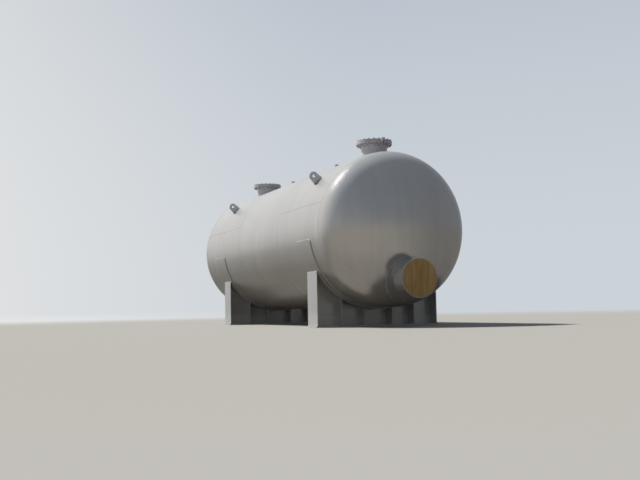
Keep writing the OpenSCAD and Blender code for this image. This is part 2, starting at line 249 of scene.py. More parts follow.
def even_normal(place):
    """The smooth normal, but each face's own normal at the very middle of a dished head."""
    flattened = {"Vector": place, "Scale": (0, 1, 1), "Location": (0, 0, -AXIS_Z)}
    off_axis = length(place.node("ShaderNodeMapping", {}, flattened))
    smooth = place.node("ShaderNodeNewGeometry", output=1)
    sockets = {0: step(off_axis, *AT_POLE), 4: smooth.out("True Normal"), 5: smooth}
    return place.node("ShaderNodeMix", {"data_type": "VECTOR"}, sockets, output=1)


def finish_with(finish, **sockets):
    """Fills the Principled shader's inputs with numbers or wires, by name with _ for spaces."""
    shader = finish.node_tree.nodes["Principled BSDF"]
    for name, value in sockets.items():
        entry = shader.inputs[name.replace("_", " ")]
        if isinstance(value, Wire):
            finish.node_tree.links.new(value.socket, entry)
        else:
            entry.default_value = value
    return finish


print("colour helpers ready")

# %% [markdown]
# ## The tank's paint
#
# The plates carry one satin silver-grey coat. In the sun it looks warm and pale, and in the shade it
# takes on the sky and the ground, as aluminium paint does. A flat grey would look like plastic, so the
# coat gets long faint streaks where rain ran down the plate, a film of pale dust on what faces up, and
# slow waves in its roughness. On the shell and the saddles that pale film is also a painted sheen, which
# lightens their tops as the light falling on them does. Rolled plate is never quite true, so a very low
# bump bends the reflections a little. The saddles get dust at their feet too, where rain splashes it up.

# %% Paint of the shell, nozzles and saddles
def tank_paint(name, body, dust_and_sheen_colour, streak_strength, metal, wave, foot_dust=0.0):
    """Satin paint with rain streaks and patches, dusty where it faces up, over plate that waves by so many
    metres. Where the dusty film is paler than the coat, it is also a painted sheen on the tops.
    """
    finish, place = new_finish(name)
    across_x = noise(place, (5.0, 0.35, 0.35), detail=4.0)
    across_y = noise(place, (0.35, 5.0, 0.35), detail=4.0, shift=(3, 7, 1))
    end_on = step(facing(place, "X") * facing(place, "X"), 0.3, 0.7)
    streaks = across_x * (1 - end_on) + across_y * end_on
    fine_x = noise(place, (23.0, 1.3, 1.3), detail=2.0, shift=(1, 2, 3))
    patches = noise(place, (0.45, 0.6, 0.6), detail=3.0, shift=(11, 5, 2))
    run = step(streaks + fine_x * 0.35, 0.42, 0.95)
    upward = step(facing(place, "Z"), 0.1, 0.9)
    # Dust on what faces up. Where its colour is paler than the coat, as on the shell and saddles, this
    # film is also a painted sheen that lightens the tops as light does.
    dust_and_sheen_film = upward * step(patches + fine_x * 0.3, 0.35, 0.95, 0.35, 1.0)
    coat = blend(run * streak_strength, body, shade(body, 0.80))
    coat = blend(step(patches, 0.35, 0.7) * 0.25, coat, shade(body, 1.08))
    if foot_dust:
        splash = step(part(place, "Z") - patches * 0.25, 0.02, 0.30, foot_dust, 0.0)
        dust_and_sheen_film = dust_and_sheen_film + splash - dust_and_sheen_film * splash
    # Lays the dust and its painted sheen over the coat.
    coat = blend(dust_and_sheen_film * 0.55, coat, dust_and_sheen_colour)
    rough = 0.26 - end_on * 0.10 + patches * 0.08 + dust_and_sheen_film * 0.12 + run * 0.04
    waves = noise(place, (1.1, 1.1, 1.1), detail=1.0, shift=(2, 9, 4))
    spray_grain = noise(place, (260, 260, 260), detail=1.0)
    surface = bump(place, waves + spray_grain * 0.004, 1.0, wave, Normal=even_normal(place))
    return finish_with(finish, Base_Color=coat, Roughness=rough, Metallic=metal, Normal=surface)


SILVER = grey(0.60)
SADDLE_GREY = grey(0.525, -0.04)
NOZZLE_GREY = (0.60, 0.60, 0.645, 1)
# The pale dust also paints a sheen on the tops of the shell and saddles; the nozzles' grey dust is dust
# alone.
PALE_DUST_AND_SHEEN, GREY_DUST = (0.74, 0.725, 0.69, 1), (0.58, 0.565, 0.535, 1)
shell_paint = tank_paint("shell_paint", SILVER, PALE_DUST_AND_SHEEN, 0.42, metal=0.5, wave=0.009)
saddle_paint = tank_paint(
    "saddle_paint", SADDLE_GREY, PALE_DUST_AND_SHEEN, 0.35, metal=0.12, wave=0.003, foot_dust=0.8
)
nozzle_paint = tank_paint("nozzle_paint", NOZZLE_GREY, GREY_DUST, 0.3, metal=0.2, wave=0.002)
print("paints:", shell_paint.name, saddle_paint.name, nozzle_paint.name)

# %% [markdown]
# ## Rubber and steel
#
# The gaskets are black sheet rubber, and the hinge pins and bolts are zinc-plated steel that has gone
# dull. One even grey would do from far away. Close up, plating is cloudy and rusts in its pits, so one
# noise makes the cloud, and a finer one makes pits that are brown, rough and no longer metal.

# %% Rubber and steel
rubber, rubber_place = new_finish("gasket_rubber")
rubber_grain = noise(rubber_place, (90, 90, 90), detail=3.0)
rubber_tone = blend(rubber_grain, (0.030, 0.030, 0.032, 1), (0.075, 0.072, 0.068, 1))
rubber_surface = bump(rubber_place, rubber_grain, 0.4, 0.002)
finish_with(rubber, Base_Color=rubber_tone, Roughness=0.72 + rubber_grain * 0.2, Normal=rubber_surface)

RUST = (0.23, 0.115, 0.055, 1)


def plated_steel(name, pale, dull, rust_amount, metal):
    """Zinc-plated steel that has gone dull, with a little rust in its pits."""
    finish, place = new_finish(name)
    cloud = noise(place, (28, 28, 28), detail=4.0)
    pits = step(noise(place, (130, 130, 130), detail=3.0, shift=(4, 1, 8)), 0.58, 0.72)
    tone = blend(pits * rust_amount, blend(cloud, dull, pale), RUST)
    rough = 0.34 + cloud * 0.22 + pits * 0.2
    surface = bump(place, cloud, 0.25, 0.002)
    sheen = metal - pits * metal
    return finish_with(finish, Base_Color=tone, Metallic=sheen, Roughness=rough, Normal=surface)


pin_steel = plated_steel("pin_steel", (0.56, 0.55, 0.53, 1), (0.36, 0.355, 0.35, 1), 0.45, 0.85)
bolt_steel = plated_steel("bolt_steel", grey(0.60), grey(0.50), 0.18, 0.25)
print("finishes:", rubber.name, pin_steel.name, bolt_steel.name)

# %% [markdown]
# ## Raw boards
#
# The outlet is closed with a disc of raw boards, the one warm colour on the tank. An image of wood would
# be quicker, but it would show its edges on the disc's rim. So the grain is noise squeezed along Z, and
# the same noise drives the bump, so that a dark line is also a groove. Each board is numbered by its
# place along Y, and its number slides the grain, so that no two boards match.

# %% Raw boards
BOARD, JOINT_Y = 0.134, -0.067
GRAIN_GAP, GRAIN_LINE, FIBRE = (0.66, 0.425, 0.165, 1), (0.88, 0.65, 0.325, 1), (0.74, 0.56, 0.27, 1)
DARK_BOARD, STAIN = (0.43, 0.245, 0.078, 1), (0.30, 0.19, 0.085, 1)


def raw_boards(name):
    """Weathered softwood boards, side by side along Y with their grain along Z."""
    finish, place = new_finish(name)
    along = (part(place, "Y") + 10 * BOARD - JOINT_Y) * (1 / BOARD)
    index = place.node("ShaderNodeMath", {"operation": "FLOOR"}, {0: along})
    which = place.node("ShaderNodeTexWhiteNoise", {"noise_dimensions": "1D"}, {"W": index})
    slid = place.node("ShaderNodeCombineXYZ", {}, {"X": index * 1.7, "Y": 0.0, "Z": which * 9.0})
    moved = place.node("ShaderNodeVectorMath", {"operation": "ADD"}, {0: place, 1: slid})
    rings = noise(moved, (6, 42, 1.6), detail=3.0, roughness=0.6)
    fibre = noise(moved, (60, 380, 9), detail=2.0, shift=(3, 1, 5))
    lines = step(rings, 0.40, 0.62)
    stain = step(noise(place, (3, 4.5, 2.2), detail=4.0, shift=(7, 2, 2)), 0.42, 0.75)
    tone = blend(lines, GRAIN_GAP, GRAIN_LINE)
    tone = blend(which * 0.35, tone, DARK_BOARD)
    tone = blend(step(fibre, 0.35, 0.8) * 0.3, tone, FIBRE)
    tone = blend(stain * 0.4, tone, STAIN)
    surface = bump(place, lines * 0.6 + fibre * 0.4, 0.5, 0.0025)
    return finish_with(finish, Base_Color=tone, Roughness=0.72 + fibre * 0.2, Normal=surface)


board_wood = raw_boards("plywood")
print("boards", BOARD, "m wide")

# %% [markdown]
# ## Dressing the solids
#
# Each solid names the finish that its real piece has. The finishes could be set piece by piece, but the
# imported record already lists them, so one loop gives every solid its own.

# %% Dress the solids
DRESS = {
    "shell_paint": shell_paint, "saddle_paint": saddle_paint, "nozzle_paint": nozzle_paint,
    "gasket_rubber": rubber, "pin_steel": pin_steel, "plywood": board_wood,
}
for subpart in frame["record"]["subparts"]:
    solids[subpart["node"]].material_slots[0].material = DRESS[subpart["material_slot"]]
print("dressed", len(solids), "solids")

# %% [markdown]
# ## Modelling by hand, in code
#
# Every operator acts on what is selected, and loading leaves all the solids selected. So each step first
# selects one piece alone, and then picks vertices or edges by where they are. That is slower to write than
# a few clicks, but it picks the same ones again when a size has changed.

# %% Adding and selecting
def alone(piece):
    """Selects this piece and nothing else."""
    bpy.ops.object.select_all(action="DESELECT")
    piece.select_set(True)
    bpy.context.view_layer.objects.active = piece


def start(add, name, **settings):
    """Adds a primitive with nothing else selected, and gives it its name."""
    bpy.ops.object.select_all(action="DESELECT")
    add(**settings)
    piece = bpy.context.active_object
    piece.name = name
    return piece


def pick(piece, kind, wanted):
    """In edit mode, selects the VERT or EDGE elements for which wanted(element) is true."""
    bpy.ops.mesh.select_mode(type=kind)
    bpy.ops.mesh.select_all(action="DESELECT")
    mesh = bmesh.from_edit_mesh(piece.data)
    for element in {"VERT": mesh.verts, "EDGE": mesh.edges}[kind]:
        element.select_set(wanted(element))
    mesh.select_flush_mode()
    bmesh.update_edit_mesh(piece.data)


print("selecting helpers ready")

# %% [markdown]
# ## Finishing a piece
#
# A finished piece has its place in its mesh and its object at the origin, so that patterns and exports
# treat it as they treat the solids. Parenting the pieces to the tank would also hold them, but riding is
# what the tank's own solids do. So each piece is settled, joined, shaded and then told what it rides on.

# %% Settling, joining and fitting out
def settle(piece):
    """Puts the piece's place, turn and size into its mesh."""
    alone(piece)
    bpy.ops.object.transform_apply(location=True, rotation=True, scale=True)
    return piece


def joined(parts, name):
    """Joins several pieces into one under a new name."""
    alone(parts[0])
    for piece in parts:
        piece.select_set(True)
    if len(parts) > 1:
        bpy.ops.object.join()
    whole = bpy.context.active_object
    whole.name = name
    whole.data.name = name
    return whole


def fit_out(piece, finish, smooth_angle=30):
    """Shades the piece, gives it its finish and slot, and lets it ride on the tank."""
    alone(piece)
    bpy.ops.object.shade_smooth_by_angle(angle=math.radians(smooth_angle))
    piece.data.materials.clear()
    piece.data.materials.append(finish)
    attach(piece, "root")


print("finishing helpers ready")

# %% [markdown]
# ## Paint on the weld metal
#
# A weld bead is a row of frozen ripples under the same coat. It shows duller than the plate, because its
# ripples scatter the light. The ripples could be modelled, but on a hundred metres of weld they would
# cost more faces than the whole tank, so they are a fine bump.

# %% Weld paint
weld_paint, weld_place = new_finish("weld_paint")
ripple = noise(weld_place, (120, 120, 120), detail=2.0)
weld_cloud = noise(weld_place, (6, 6, 6), detail=3.0, shift=(5, 5, 2))
weld_tone = blend(weld_cloud, grey(0.46, 0.01), grey(0.60, 0.01))
weld_surface = bump(weld_place, ripple, 0.6, 0.004)
weld_rough = 0.50 + ripple * 0.2
finish_with(weld_paint, Base_Color=weld_tone, Roughness=weld_rough, Metallic=0.2, Normal=weld_surface)
print("finish:", weld_paint.name)

# %% [markdown]
# ## Outlines of joints
#
# Every plate of the tank is joined by a bead of weld metal: low and wide where two courses meet, a small
# fillet in the corner where a pad, neck, lug or saddle plate meets the next plate. A bead could be
# sculpted, but it is always the same round section led along a joint. So each joint is first drawn as a
# thin outline, a ring or a rounded rectangle, and laid on the solid by a Shrinkwrap modifier.

# %% Outlines of joints
def ring_path(centre, radius, facing_x=False, points=96):
    """A circle of edges, level or square to the tank's axis."""
    turned = (0, math.pi / 2, 0) if facing_x else (0, 0, 0)
    add = bpy.ops.mesh.primitive_circle_add
    return settle(start(add, "path", vertices=points, radius=radius, location=centre, rotation=turned))


def box_path(centre, across, along, corner, turned=(0, 0, 0), cut_over=math.inf, cuts=1, apply_turn=True):
    """A rounded rectangle of edges. Edges longer than cut_over are divided, so that they can bend."""
    path = start(bpy.ops.mesh.primitive_plane_add, "path", size=1, location=centre, rotation=turned)
    path.scale = (across, along, 1)
    bpy.ops.object.transform_apply(location=False, rotation=False, scale=True)
    bpy.ops.object.mode_set(mode="EDIT")
    bpy.ops.mesh.select_all(action="SELECT")
    bpy.ops.mesh.bevel(offset=corner, segments=3, affect="VERTICES")
    bpy.ops.mesh.delete(type="ONLY_FACE")
    pick(path, "EDGE", lambda edge: edge.calc_length() > cut_over)
    bpy.ops.mesh.subdivide(number_cuts=cuts)
    bpy.ops.object.mode_set(mode="OBJECT")
    return settle(path) if apply_turn else path


def lay_on(path, node, axis):
    """Lays the path on a solid, looking along one axis of the path towards minus."""
    alone(path)
    wrap = path.modifiers.new("lay", "SHRINKWRAP")
    wrap.target = solids[node]
    wrap.wrap_method = "PROJECT"
    wrap.use_project_x, wrap.use_project_y, wrap.use_project_z = (axis == name for name in "XYZ")
    wrap.use_negative_direction = True
    wrap.use_positive_direction = False
    bpy.ops.object.modifier_apply(modifier="lay")
    return path


print("joint outlines ready")

# %% [markdown]
# ## From an outline to a bead
#
# A tube round the outline could be built ring by ring. A curve does the same by itself: its round bevel
# is the bead's section, and it keeps square to the path in every corner. The curve is then made a mesh. A
# slight seeded wobble of its points keeps the bead from looking machined.

# %% Beads
WOBBLE = 0.0006


def bead(path, thickness):
    """Thickens a path of edges into a bead of weld metal."""
    settle(path)
    bpy.ops.object.mode_set(mode="EDIT")
    bpy.ops.mesh.select_all(action="SELECT")
    bpy.ops.transform.vertex_random(offset=WOBBLE, seed=4)
    bpy.ops.object.mode_set(mode="OBJECT")
    bpy.ops.object.convert(target="CURVE")
    path.data.dimensions = "3D"
    path.data.bevel_depth = thickness / 2
    path.data.bevel_resolution = 1
    path.data.use_fill_caps = True
    bpy.ops.object.convert(target="MESH")
    return bpy.context.active_object


def weld(name, beads):
    """Joins beads into one named piece in weld paint."""
    piece = joined(beads, name)
    fit_out(piece, weld_paint, smooth_angle=60)
    print(name, len(piece.data.polygons), "faces")


print("bead wobble", WOBBLE, "m")

# %% [markdown]
# ## Girth seams
#
# The rolled courses and the heads meet edge to edge, and each joint is filled by a wide bead that stands
# only a few millimetres proud. A narrow ring standing on the shell would look like a wire, so a thick
# ring is sunk until only its crown shows.

# %% Girth seams
SEAM_BEAD, SEAM_SINK, SEAM_POINTS = 0.030, 0.0112, 180
GIRTH_SEAMS = {
    "near_head_weld": NEAR_WELD_X, "near_girth_weld": NEAR_SEAM_X,
    "far_girth_weld": FAR_SEAM_X, "far_head_weld": FAR_WELD_X,
}
for name, x in GIRTH_SEAMS.items():
    seam_path = ring_path((x, 0, AXIS_Z), SHELL_R - SEAM_SINK, facing_x=True, points=SEAM_POINTS)
    weld(name, [bead(seam_path, SEAM_BEAD)])

# %% [markdown]
# ## Long seams
#
# Each course is one plate rolled to a tube and closed by a straight seam. The seams of neighbours are
# staggered, so that no crack could run on. A straight bead needs no curve: a thin cylinder of the same
# thickness is divided along its length, and its points get the same wobble.

# %% Long seams
SEAM_SIDES, SEAM_CUTS = 8, 60
LONG_SEAMS = {
    "near_long_seam": (NEAR_SEAM_X, NEAR_WELD_X, 70.5),
    "middle_long_seam": (FAR_SEAM_X, NEAR_SEAM_X, -71),
    "far_long_seam": (FAR_WELD_X, FAR_SEAM_X, 72),
}


def long_seam(name, x_from, x_to, angle):
    """A straight bead along the shell, angle degrees from the top towards -Y."""
    lean = math.radians(angle)
    place = (SHELL_R - SEAM_SINK) * Vector((0, -math.sin(lean), math.cos(lean)))
    run = abs(x_to - x_from)
    seam = start(
        bpy.ops.mesh.primitive_cylinder_add, name, vertices=SEAM_SIDES, radius=SEAM_BEAD / 2, depth=run,
        location=((x_from + x_to) / 2, place.y, AXIS_Z + place.z), rotation=(0, math.pi / 2, 0),
    )
    settle(seam)
    bpy.ops.object.mode_set(mode="EDIT")
    pick(seam, "EDGE", lambda edge: edge.calc_length() > run / 2)
    bpy.ops.mesh.subdivide(number_cuts=SEAM_CUTS)
    bpy.ops.mesh.select_all(action="SELECT")
    bpy.ops.transform.vertex_random(offset=WOBBLE, seed=8)
    bpy.ops.object.mode_set(mode="OBJECT")
    weld(name, [seam])


for name, (x_from, x_to, angle) in LONG_SEAMS.items():
    long_seam(name, x_from, x_to, angle)

# %% [markdown]
# ## Fillets at the manways and the outlet
#
# A nozzle is welded three times: its pad to the shell, its neck to the pad, and its flange to the neck. A
# pad's rim lies on a rolled shell or a dished head, so its outline could only be worked out with effort.
# A flat ring dropped on the solid finds that line by itself.

# %% Manway and outlet beads
NECK_R = 0.305
PAD_R = (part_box("near_manway_pad")[1].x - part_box("near_manway_pad")[0].x) / 2
FLANGE_T = 0.036
FILLET = 0.020
COLLAR_FILLET = 0.016
OFF = 0.003
DROP = 0.3
COURSES = {"near": "shell_course_near", "far": "shell_course_far"}
for end, course in COURSES.items():
    x = middle(f"{end}_manway_pad").x
    above = (x, 0, AXIS_Z + SHELL_R + DROP)
    flange_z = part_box(f"{end}_manway_gasket")[0].z - FLANGE_T
    rim = bead(lay_on(ring_path(above, PAD_R + OFF), course, "Z"), FILLET)
    foot = bead(lay_on(ring_path(above, NECK_R + OFF), f"{end}_manway_pad", "Z"), FILLET)
    collar = bead(ring_path((x, 0, flange_z - OFF), NECK_R + OFF), COLLAR_FILLET)
    weld(f"{end}_manway_weld", [rim, foot, collar])

outlet = middle("outlet_flange")
OUTLET_BACK_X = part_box("outlet_flange")[0].x
before = (OUTLET_BACK_X + DROP, 0, outlet.z)
rim = bead(lay_on(ring_path(before, PAD_R + OFF, facing_x=True), "head_near", "X"), FILLET)
foot = bead(lay_on(ring_path(before, NECK_R + OFF, facing_x=True), "outlet_pad", "X"), FILLET)
collar = bead(ring_path((OUTLET_BACK_X - OFF, 0, outlet.z), NECK_R + OFF, facing_x=True), COLLAR_FILLET)
weld("outlet_weld", [rim, foot, collar])

# %% [markdown]
# ## Fillets at the vents
#
# A vent is a thin pipe with a small flange, welded straight to the shell. Its two beads are made as the
# manways' are, only thinner and with fewer points, because they are a hand's width round.

# %% Vent beads
VENT_R = 0.017
VENT_OFF = 0.002
VENT_FOOT_BEAD, VENT_COLLAR_BEAD = 0.012, 0.009
VENT_POINTS = 32
for end, course in (("near", "shell_course_middle"), ("far", "shell_course_far")):
    low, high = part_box(f"{end}_vent_cover")
    x = (low.x + high.x) / 2
    flange_z = 2 * low.z - high.z
    foot_path = lay_on(ring_path((x, 0, low.z), VENT_R + VENT_OFF, points=VENT_POINTS), course, "Z")
    collar_path = ring_path((x, 0, flange_z - VENT_OFF), VENT_R + VENT_OFF, points=VENT_POINTS)
    weld(f"{end}_vent_weld", [bead(foot_path, VENT_FOOT_BEAD), bead(collar_path, VENT_COLLAR_BEAD)])

# %% [markdown]
# ## Fillets at the lifting lugs
#
# A lug is a thick plate standing square on the shell, welded all round its foot. The foot's outline is a
# narrow rectangle, turned as the lug leans and kept turned while it is laid on, because Shrinkwrap looks
# along the path's own axis. Its long sides are divided first, so that they bend with the shell.

# %% Lug beads
LUG_ANGLE, LUG_T, LUG_W = math.radians(46.5), 0.040, 0.240
LUG_CORNER, LUG_EDGE, LUG_CUTS = 0.006, 0.1, 12
LUG_DROP = 0.25
LUG_REACH = SHELL_R + LUG_DROP
for end, course in COURSES.items():
    for side, sign in (("left", 1), ("right", -1)):
        x = middle(f"{end}_{side}_lug").x
        place = (x, sign * LUG_REACH * math.sin(LUG_ANGLE), AXIS_Z + LUG_REACH * math.cos(LUG_ANGLE))
        path = box_path(
            place, LUG_T + 2 * OFF, LUG_W + 2 * OFF, LUG_CORNER, turned=(-sign * LUG_ANGLE, 0, 0),
            cut_over=LUG_EDGE, cuts=LUG_CUTS, apply_turn=False,
        )
        weld(f"{end}_{side}_lug_weld", [bead(lay_on(path, course, "Z"), FILLET)])

# %% [markdown]
# ## Outlines rolled with the shell
#
# The saddle's wear plate and cradle are rolled round the tank, so their welds are rectangles rolled the
# same way. Laying them on the shell from one side would fail where it turns upright. So each rectangle is
# drawn flat with its long sides divided, and a Simple Deform modifier bends it to its radius.

# %% Rolled outlines
def rolled_path(x, half_length, half_angle, radius, corner, cuts):
    """A rounded rectangle rolled round the tank's axis, its middle straight below the axis."""
    arc = 2 * math.radians(half_angle) * radius
    upright = (math.pi / 2, 0, 0)
    path = box_path((0, 0, 0), 2 * half_length, arc, corner, turned=upright, cut_over=arc / 3, cuts=cuts)
    bend = path.modifiers.new("roll", "SIMPLE_DEFORM")
    bend.deform_method = "BEND"
    bend.deform_axis = "X"
    bend.angle = 2 * math.radians(half_angle)
    alone(path)
    bpy.ops.object.modifier_apply(modifier="roll")
    path.rotation_euler = upright
    path.location = (x, 0, AXIS_Z - radius)
    return settle(path)


print("rolled outlines ready")

# %% [markdown]
# ## Fillets of the saddles
#
# A saddle is a box of plates: a web across the tank with ribs on both faces, an end plate at each side, a
# base plate below and a rolled cradle above. One welded edge could stand for all, but the small corners
# catch light and make the saddle look built. So every joint that shows gets its bead: the rolled ones,
# those on the base plate, and the upright ones in the corners between web, ribs and end plates.

# %% Sizes of the saddles' beads
SMALL_FILLET, WEAR_FILLET = 0.016, 0.025
TIGHT, CRADLE_CORNER, WEAR_CORNER = 0.002, 0.004, 0.070
# Degrees from straight below the axis to the wear plate's end, and by which the web stops short.
WEAR_ANGLE, WEB_STOP = 83, 0.7
WEAR_CUTS, CRADLE_CUTS = 70, 50
RIB_T, END_T, INNER_RIB_Y = 0.016, 0.020, 0.350


def half_width(node):
    """Half of a solid's size along the tank."""
    low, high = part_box(node)
    return (high.x - low.x) / 2


def corner_bead(place, across, along, turned=(0, 0, 0)):
    """A small bead along a tight rectangle, level or upright, where one plate meets another."""
    return bead(box_path(place, across, along, TIGHT, turned=turned), SMALL_FILLET)


print("saddle beads", SMALL_FILLET, "m, wear plate bead", WEAR_FILLET, "m")

# %% [markdown]
# ## Every joint of a saddle
#
# The two saddles are alike, and each is alike in front of its web and behind it. One could be beaded and
# copied, but each saddle's plates have boxes of their own to read. So one loop goes over the saddles, one
# over their sides and one over the ribs, and each height comes from the cradle's curve above it.

# %% Saddle beads
for end in ("near", "far"):
    x = middle(f"{end}_web").x
    base_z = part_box(f"{end}_base_plate")[1].z
    wear_r = AXIS_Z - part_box(f"{end}_wear_plate")[0].z
    cradle_r = AXIS_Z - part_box(f"{end}_cradle")[0].z
    wear_half, half, web_half = (half_width(f"{end}_{name}") for name in ("wear_plate", "cradle", "web"))
    end_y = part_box(f"{end}_end_plates")[1].y
    inner_y = end_y - END_T
    outer_rib_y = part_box(f"{end}_ribs")[1].y - RIB_T / 2
    wear_angle = WEAR_ANGLE + math.degrees(OFF / SHELL_R)
    cradle_angle = math.degrees(math.asin(end_y / cradle_r))
    web_angle = cradle_angle - WEB_STOP
    beads = [
        bead(
            rolled_path(x, wear_half + OFF, wear_angle, SHELL_R + OFF, WEAR_CORNER, WEAR_CUTS),
            WEAR_FILLET,
        ),
        bead(
            rolled_path(x, half + OFF, cradle_angle, wear_r + OFF, CRADLE_CORNER, CRADLE_CUTS),
            SMALL_FILLET,
        ),
        bead(
            rolled_path(x, web_half + OFF, web_angle, cradle_r + OFF, TIGHT, CRADLE_CUTS),
            SMALL_FILLET,
        ),
        corner_bead((x, 0, base_z + OFF), 2 * (web_half + OFF), 2 * inner_y),
    ]
    for sign in (1, -1):
        foot_at = (x, sign * (end_y - END_T / 2), base_z + OFF)
        beads.append(corner_bead(foot_at, 2 * (half + OFF), END_T + 2 * OFF))
        top = AXIS_Z - math.sqrt(cradle_r**2 - inner_y**2)
        corner_at = (x, sign * (inner_y - OFF), (top + base_z) / 2)
        beads.append(corner_bead(corner_at, 2 * (web_half + OFF), top - base_z, (math.pi / 2, 0, 0)))
        for y in (-outer_rib_y, -INNER_RIB_Y, INNER_RIB_Y, outer_rib_y):
            foot_at = (x + sign * (half + web_half) / 2, y, base_z + OFF)
            beads.append(corner_bead(foot_at, half - web_half + 2 * OFF, RIB_T + 2 * OFF))
            top = AXIS_Z - math.sqrt(cradle_r**2 - y**2)
            root_at = (x + sign * (web_half + OFF), y, (top + base_z) / 2)
            beads.append(corner_bead(root_at, top - base_z, RIB_T + 2 * OFF, (0, math.pi / 2, 0)))
    weld(f"{end}_saddle_weld", beads)

# %% [markdown]
# ## The boards over the outlet
#
# The open outlet flange is closed for the journey with a disc sawn from boards. The solid is a plain
# disc. A bump could fake the joints, but their shadow would be missing from the side, so the disc is
# modelled again in the same place: a cylinder is cut at each joint by bisect, and its cut edges are
# bevelled and pressed in to V grooves.

# %% Board cover of the outlet
wood_low, wood_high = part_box("outlet_wood_cover")
WOOD_R, WOOD_T = (wood_high.y - wood_low.y) / 2, wood_high.x - wood_low.x
GROOVE, GROOVE_DEPTH, ON_JOINT = 0.0025, 0.004, 1e-4
cover = start(
    bpy.ops.mesh.primitive_cylinder_add, "outlet_board_cover", vertices=96, radius=WOOD_R, depth=WOOD_T,
    location=((wood_low.x + wood_high.x) / 2, 0, outlet.z), rotation=(0, math.pi / 2, 0),
)
settle(cover)
joints = [JOINT_Y + BOARD * i for i in range(-2, 4)]


def on_joint(vert):
    """Whether a vertex lies in a joint of the boards."""
    return min(abs(vert.co.y - joint) for joint in joints) < ON_JOINT


bpy.ops.object.mode_set(mode="EDIT")
for joint in joints:
    bpy.ops.mesh.select_all(action="SELECT")
    bpy.ops.mesh.bisect(plane_co=(wood_high.x, joint, outlet.z), plane_no=(0, 1, 0))
pick(cover, "EDGE", lambda edge: all(on_joint(vert) for vert in edge.verts))
bpy.ops.mesh.bevel(offset=GROOVE, segments=2, affect="EDGES", profile=0.5)
pick(cover, "VERT", on_joint)
bpy.ops.transform.shrink_fatten(value=-GROOVE_DEPTH)
bpy.ops.object.mode_set(mode="OBJECT")

# %% [markdown]
# ## Counterbores in the boards
#
# Four bolts hold the boards to the flange. Their heads are let into the wood, so that they catch on
# nothing on the way. Dark spots in the finish would look like heads from far away, but a close view needs
# the hole, so a Boolean takes one out for each head.

# %% Counterbores
# Radius of the large flanges' bolt circle.
FLANGE_PCD_R = 0.385
WOOD_BOLTS = 4
# Degrees from the lowest point of the bolt circle.
FIRST_BOLT = 9
BORE_R, BORE_DEPTH = 0.014, 0.012
held_at = []
for i in range(WOOD_BOLTS):
    angle = math.radians(FIRST_BOLT + 360 / WOOD_BOLTS * i)
    held_at.append((FLANGE_PCD_R * math.sin(angle), outlet.z - FLANGE_PCD_R * math.cos(angle)))
bores = []
for y, z in held_at:
    bore = start(
        bpy.ops.mesh.primitive_cylinder_add, "bore", vertices=24, radius=BORE_R, depth=2 * BORE_DEPTH,
        location=(wood_high.x, y, z), rotation=(0, math.pi / 2, 0),
    )
    bores.append(settle(bore))
cutter = joined(bores, "bores")
alone(cover)
cut = cover.modifiers.new("cut", "BOOLEAN")
cut.operation, cut.solver, cut.object = "DIFFERENCE", "EXACT", cutter
bpy.ops.object.modifier_apply(modifier="cut")
bpy.data.objects.remove(cutter)
fit_out(cover, board_wood)
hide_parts("outlet_wood_cover")
print("board cover", len(cover.data.polygons), "faces")
print("held at", [(round(y, 3), round(z, 3)) for y, z in held_at])

# %% [markdown]
# ## Bolts and nuts
#
# The manway covers are held by twenty M33 bolts each, the vent covers by four M12 bolts, and the boards
# by four M12 bolts with wide washers. A bolt from a library would carry thousands of thread faces that
# nobody sees, so one bolt of each size is modelled from three prisms with bevelled corners: head, shank
# and nut.

# %% One bolt, washer and nut
M33, M12 = 0.033, 0.012
# Width across flats, height of the head and height of the nut.
HEX = {M33: (0.050, 0.021, 0.0285), M12: (0.018, 0.0075, 0.0108)}
# Shares of the thread's size, and of the washer's thickness.
HEX_CHAMFER, SHANK_CHAMFER, TAIL, WASHER_CHAMFER = 0.07, 0.06, 0.35, 0.2
INTO_HEAD, BORE_PLAY, LEVEL = 0.001, 0.0015, 1e-6
HEX_SIDES, SHANK_SIDES, WASHER_SIDES = 6, 12, 24


def prism(sides, radius, low_z, high_z, chamfer):
    """An upright prism with its top and bottom edges bevelled."""
    body = start(
        bpy.ops.mesh.primitive_cylinder_add, "prism", vertices=sides, radius=radius, depth=high_z - low_z,
        location=(0, 0, (low_z + high_z) / 2),
    )
    settle(body)
    bpy.ops.object.mode_set(mode="EDIT")
    pick(body, "EDGE", lambda edge: abs(edge.verts[0].co.z - edge.verts[1].co.z) < LEVEL)
    bpy.ops.mesh.bevel(offset=chamfer, segments=1, affect="EDGES")
    bpy.ops.object.mode_set(mode="OBJECT")
    return body


def bolt(name, size, grip, washer_r=0.0, washer_t=0.0):
    """A hex bolt along Z with its head standing on z = 0, and its nut drawn up under z = -grip."""
    flats, head, nut = HEX[size]
    corner = flats / math.sqrt(3)
    nut_top = -grip - washer_t
    parts = [
        prism(HEX_SIDES, corner, 0, head, HEX_CHAMFER * size),
        prism(SHANK_SIDES, size / 2, nut_top - nut - TAIL * size, INTO_HEAD, SHANK_CHAMFER * size),
        prism(HEX_SIDES, corner, nut_top - nut, nut_top, HEX_CHAMFER * size),
    ]
    if washer_r:
        chamfer = WASHER_CHAMFER * washer_t
        parts.append(prism(WASHER_SIDES, washer_r, nut_top, -grip, chamfer))
        parts.append(prism(WASHER_SIDES, BORE_R - BORE_PLAY, -washer_t, 0, chamfer))
    return joined(parts, name)


print("bolt sizes", list(HEX))

# %% [markdown]
# ## Copying a bolt
#
# A fitter leaves every nut turned its own way. An Array modifier would turn all the bolts alike, so each
# place is a matrix with its own turn round the bolt. Each copy gets its own mesh, and the copies are
# joined to one piece.

# %% Copies round a bolt circle
TURN_STEP = 2.4


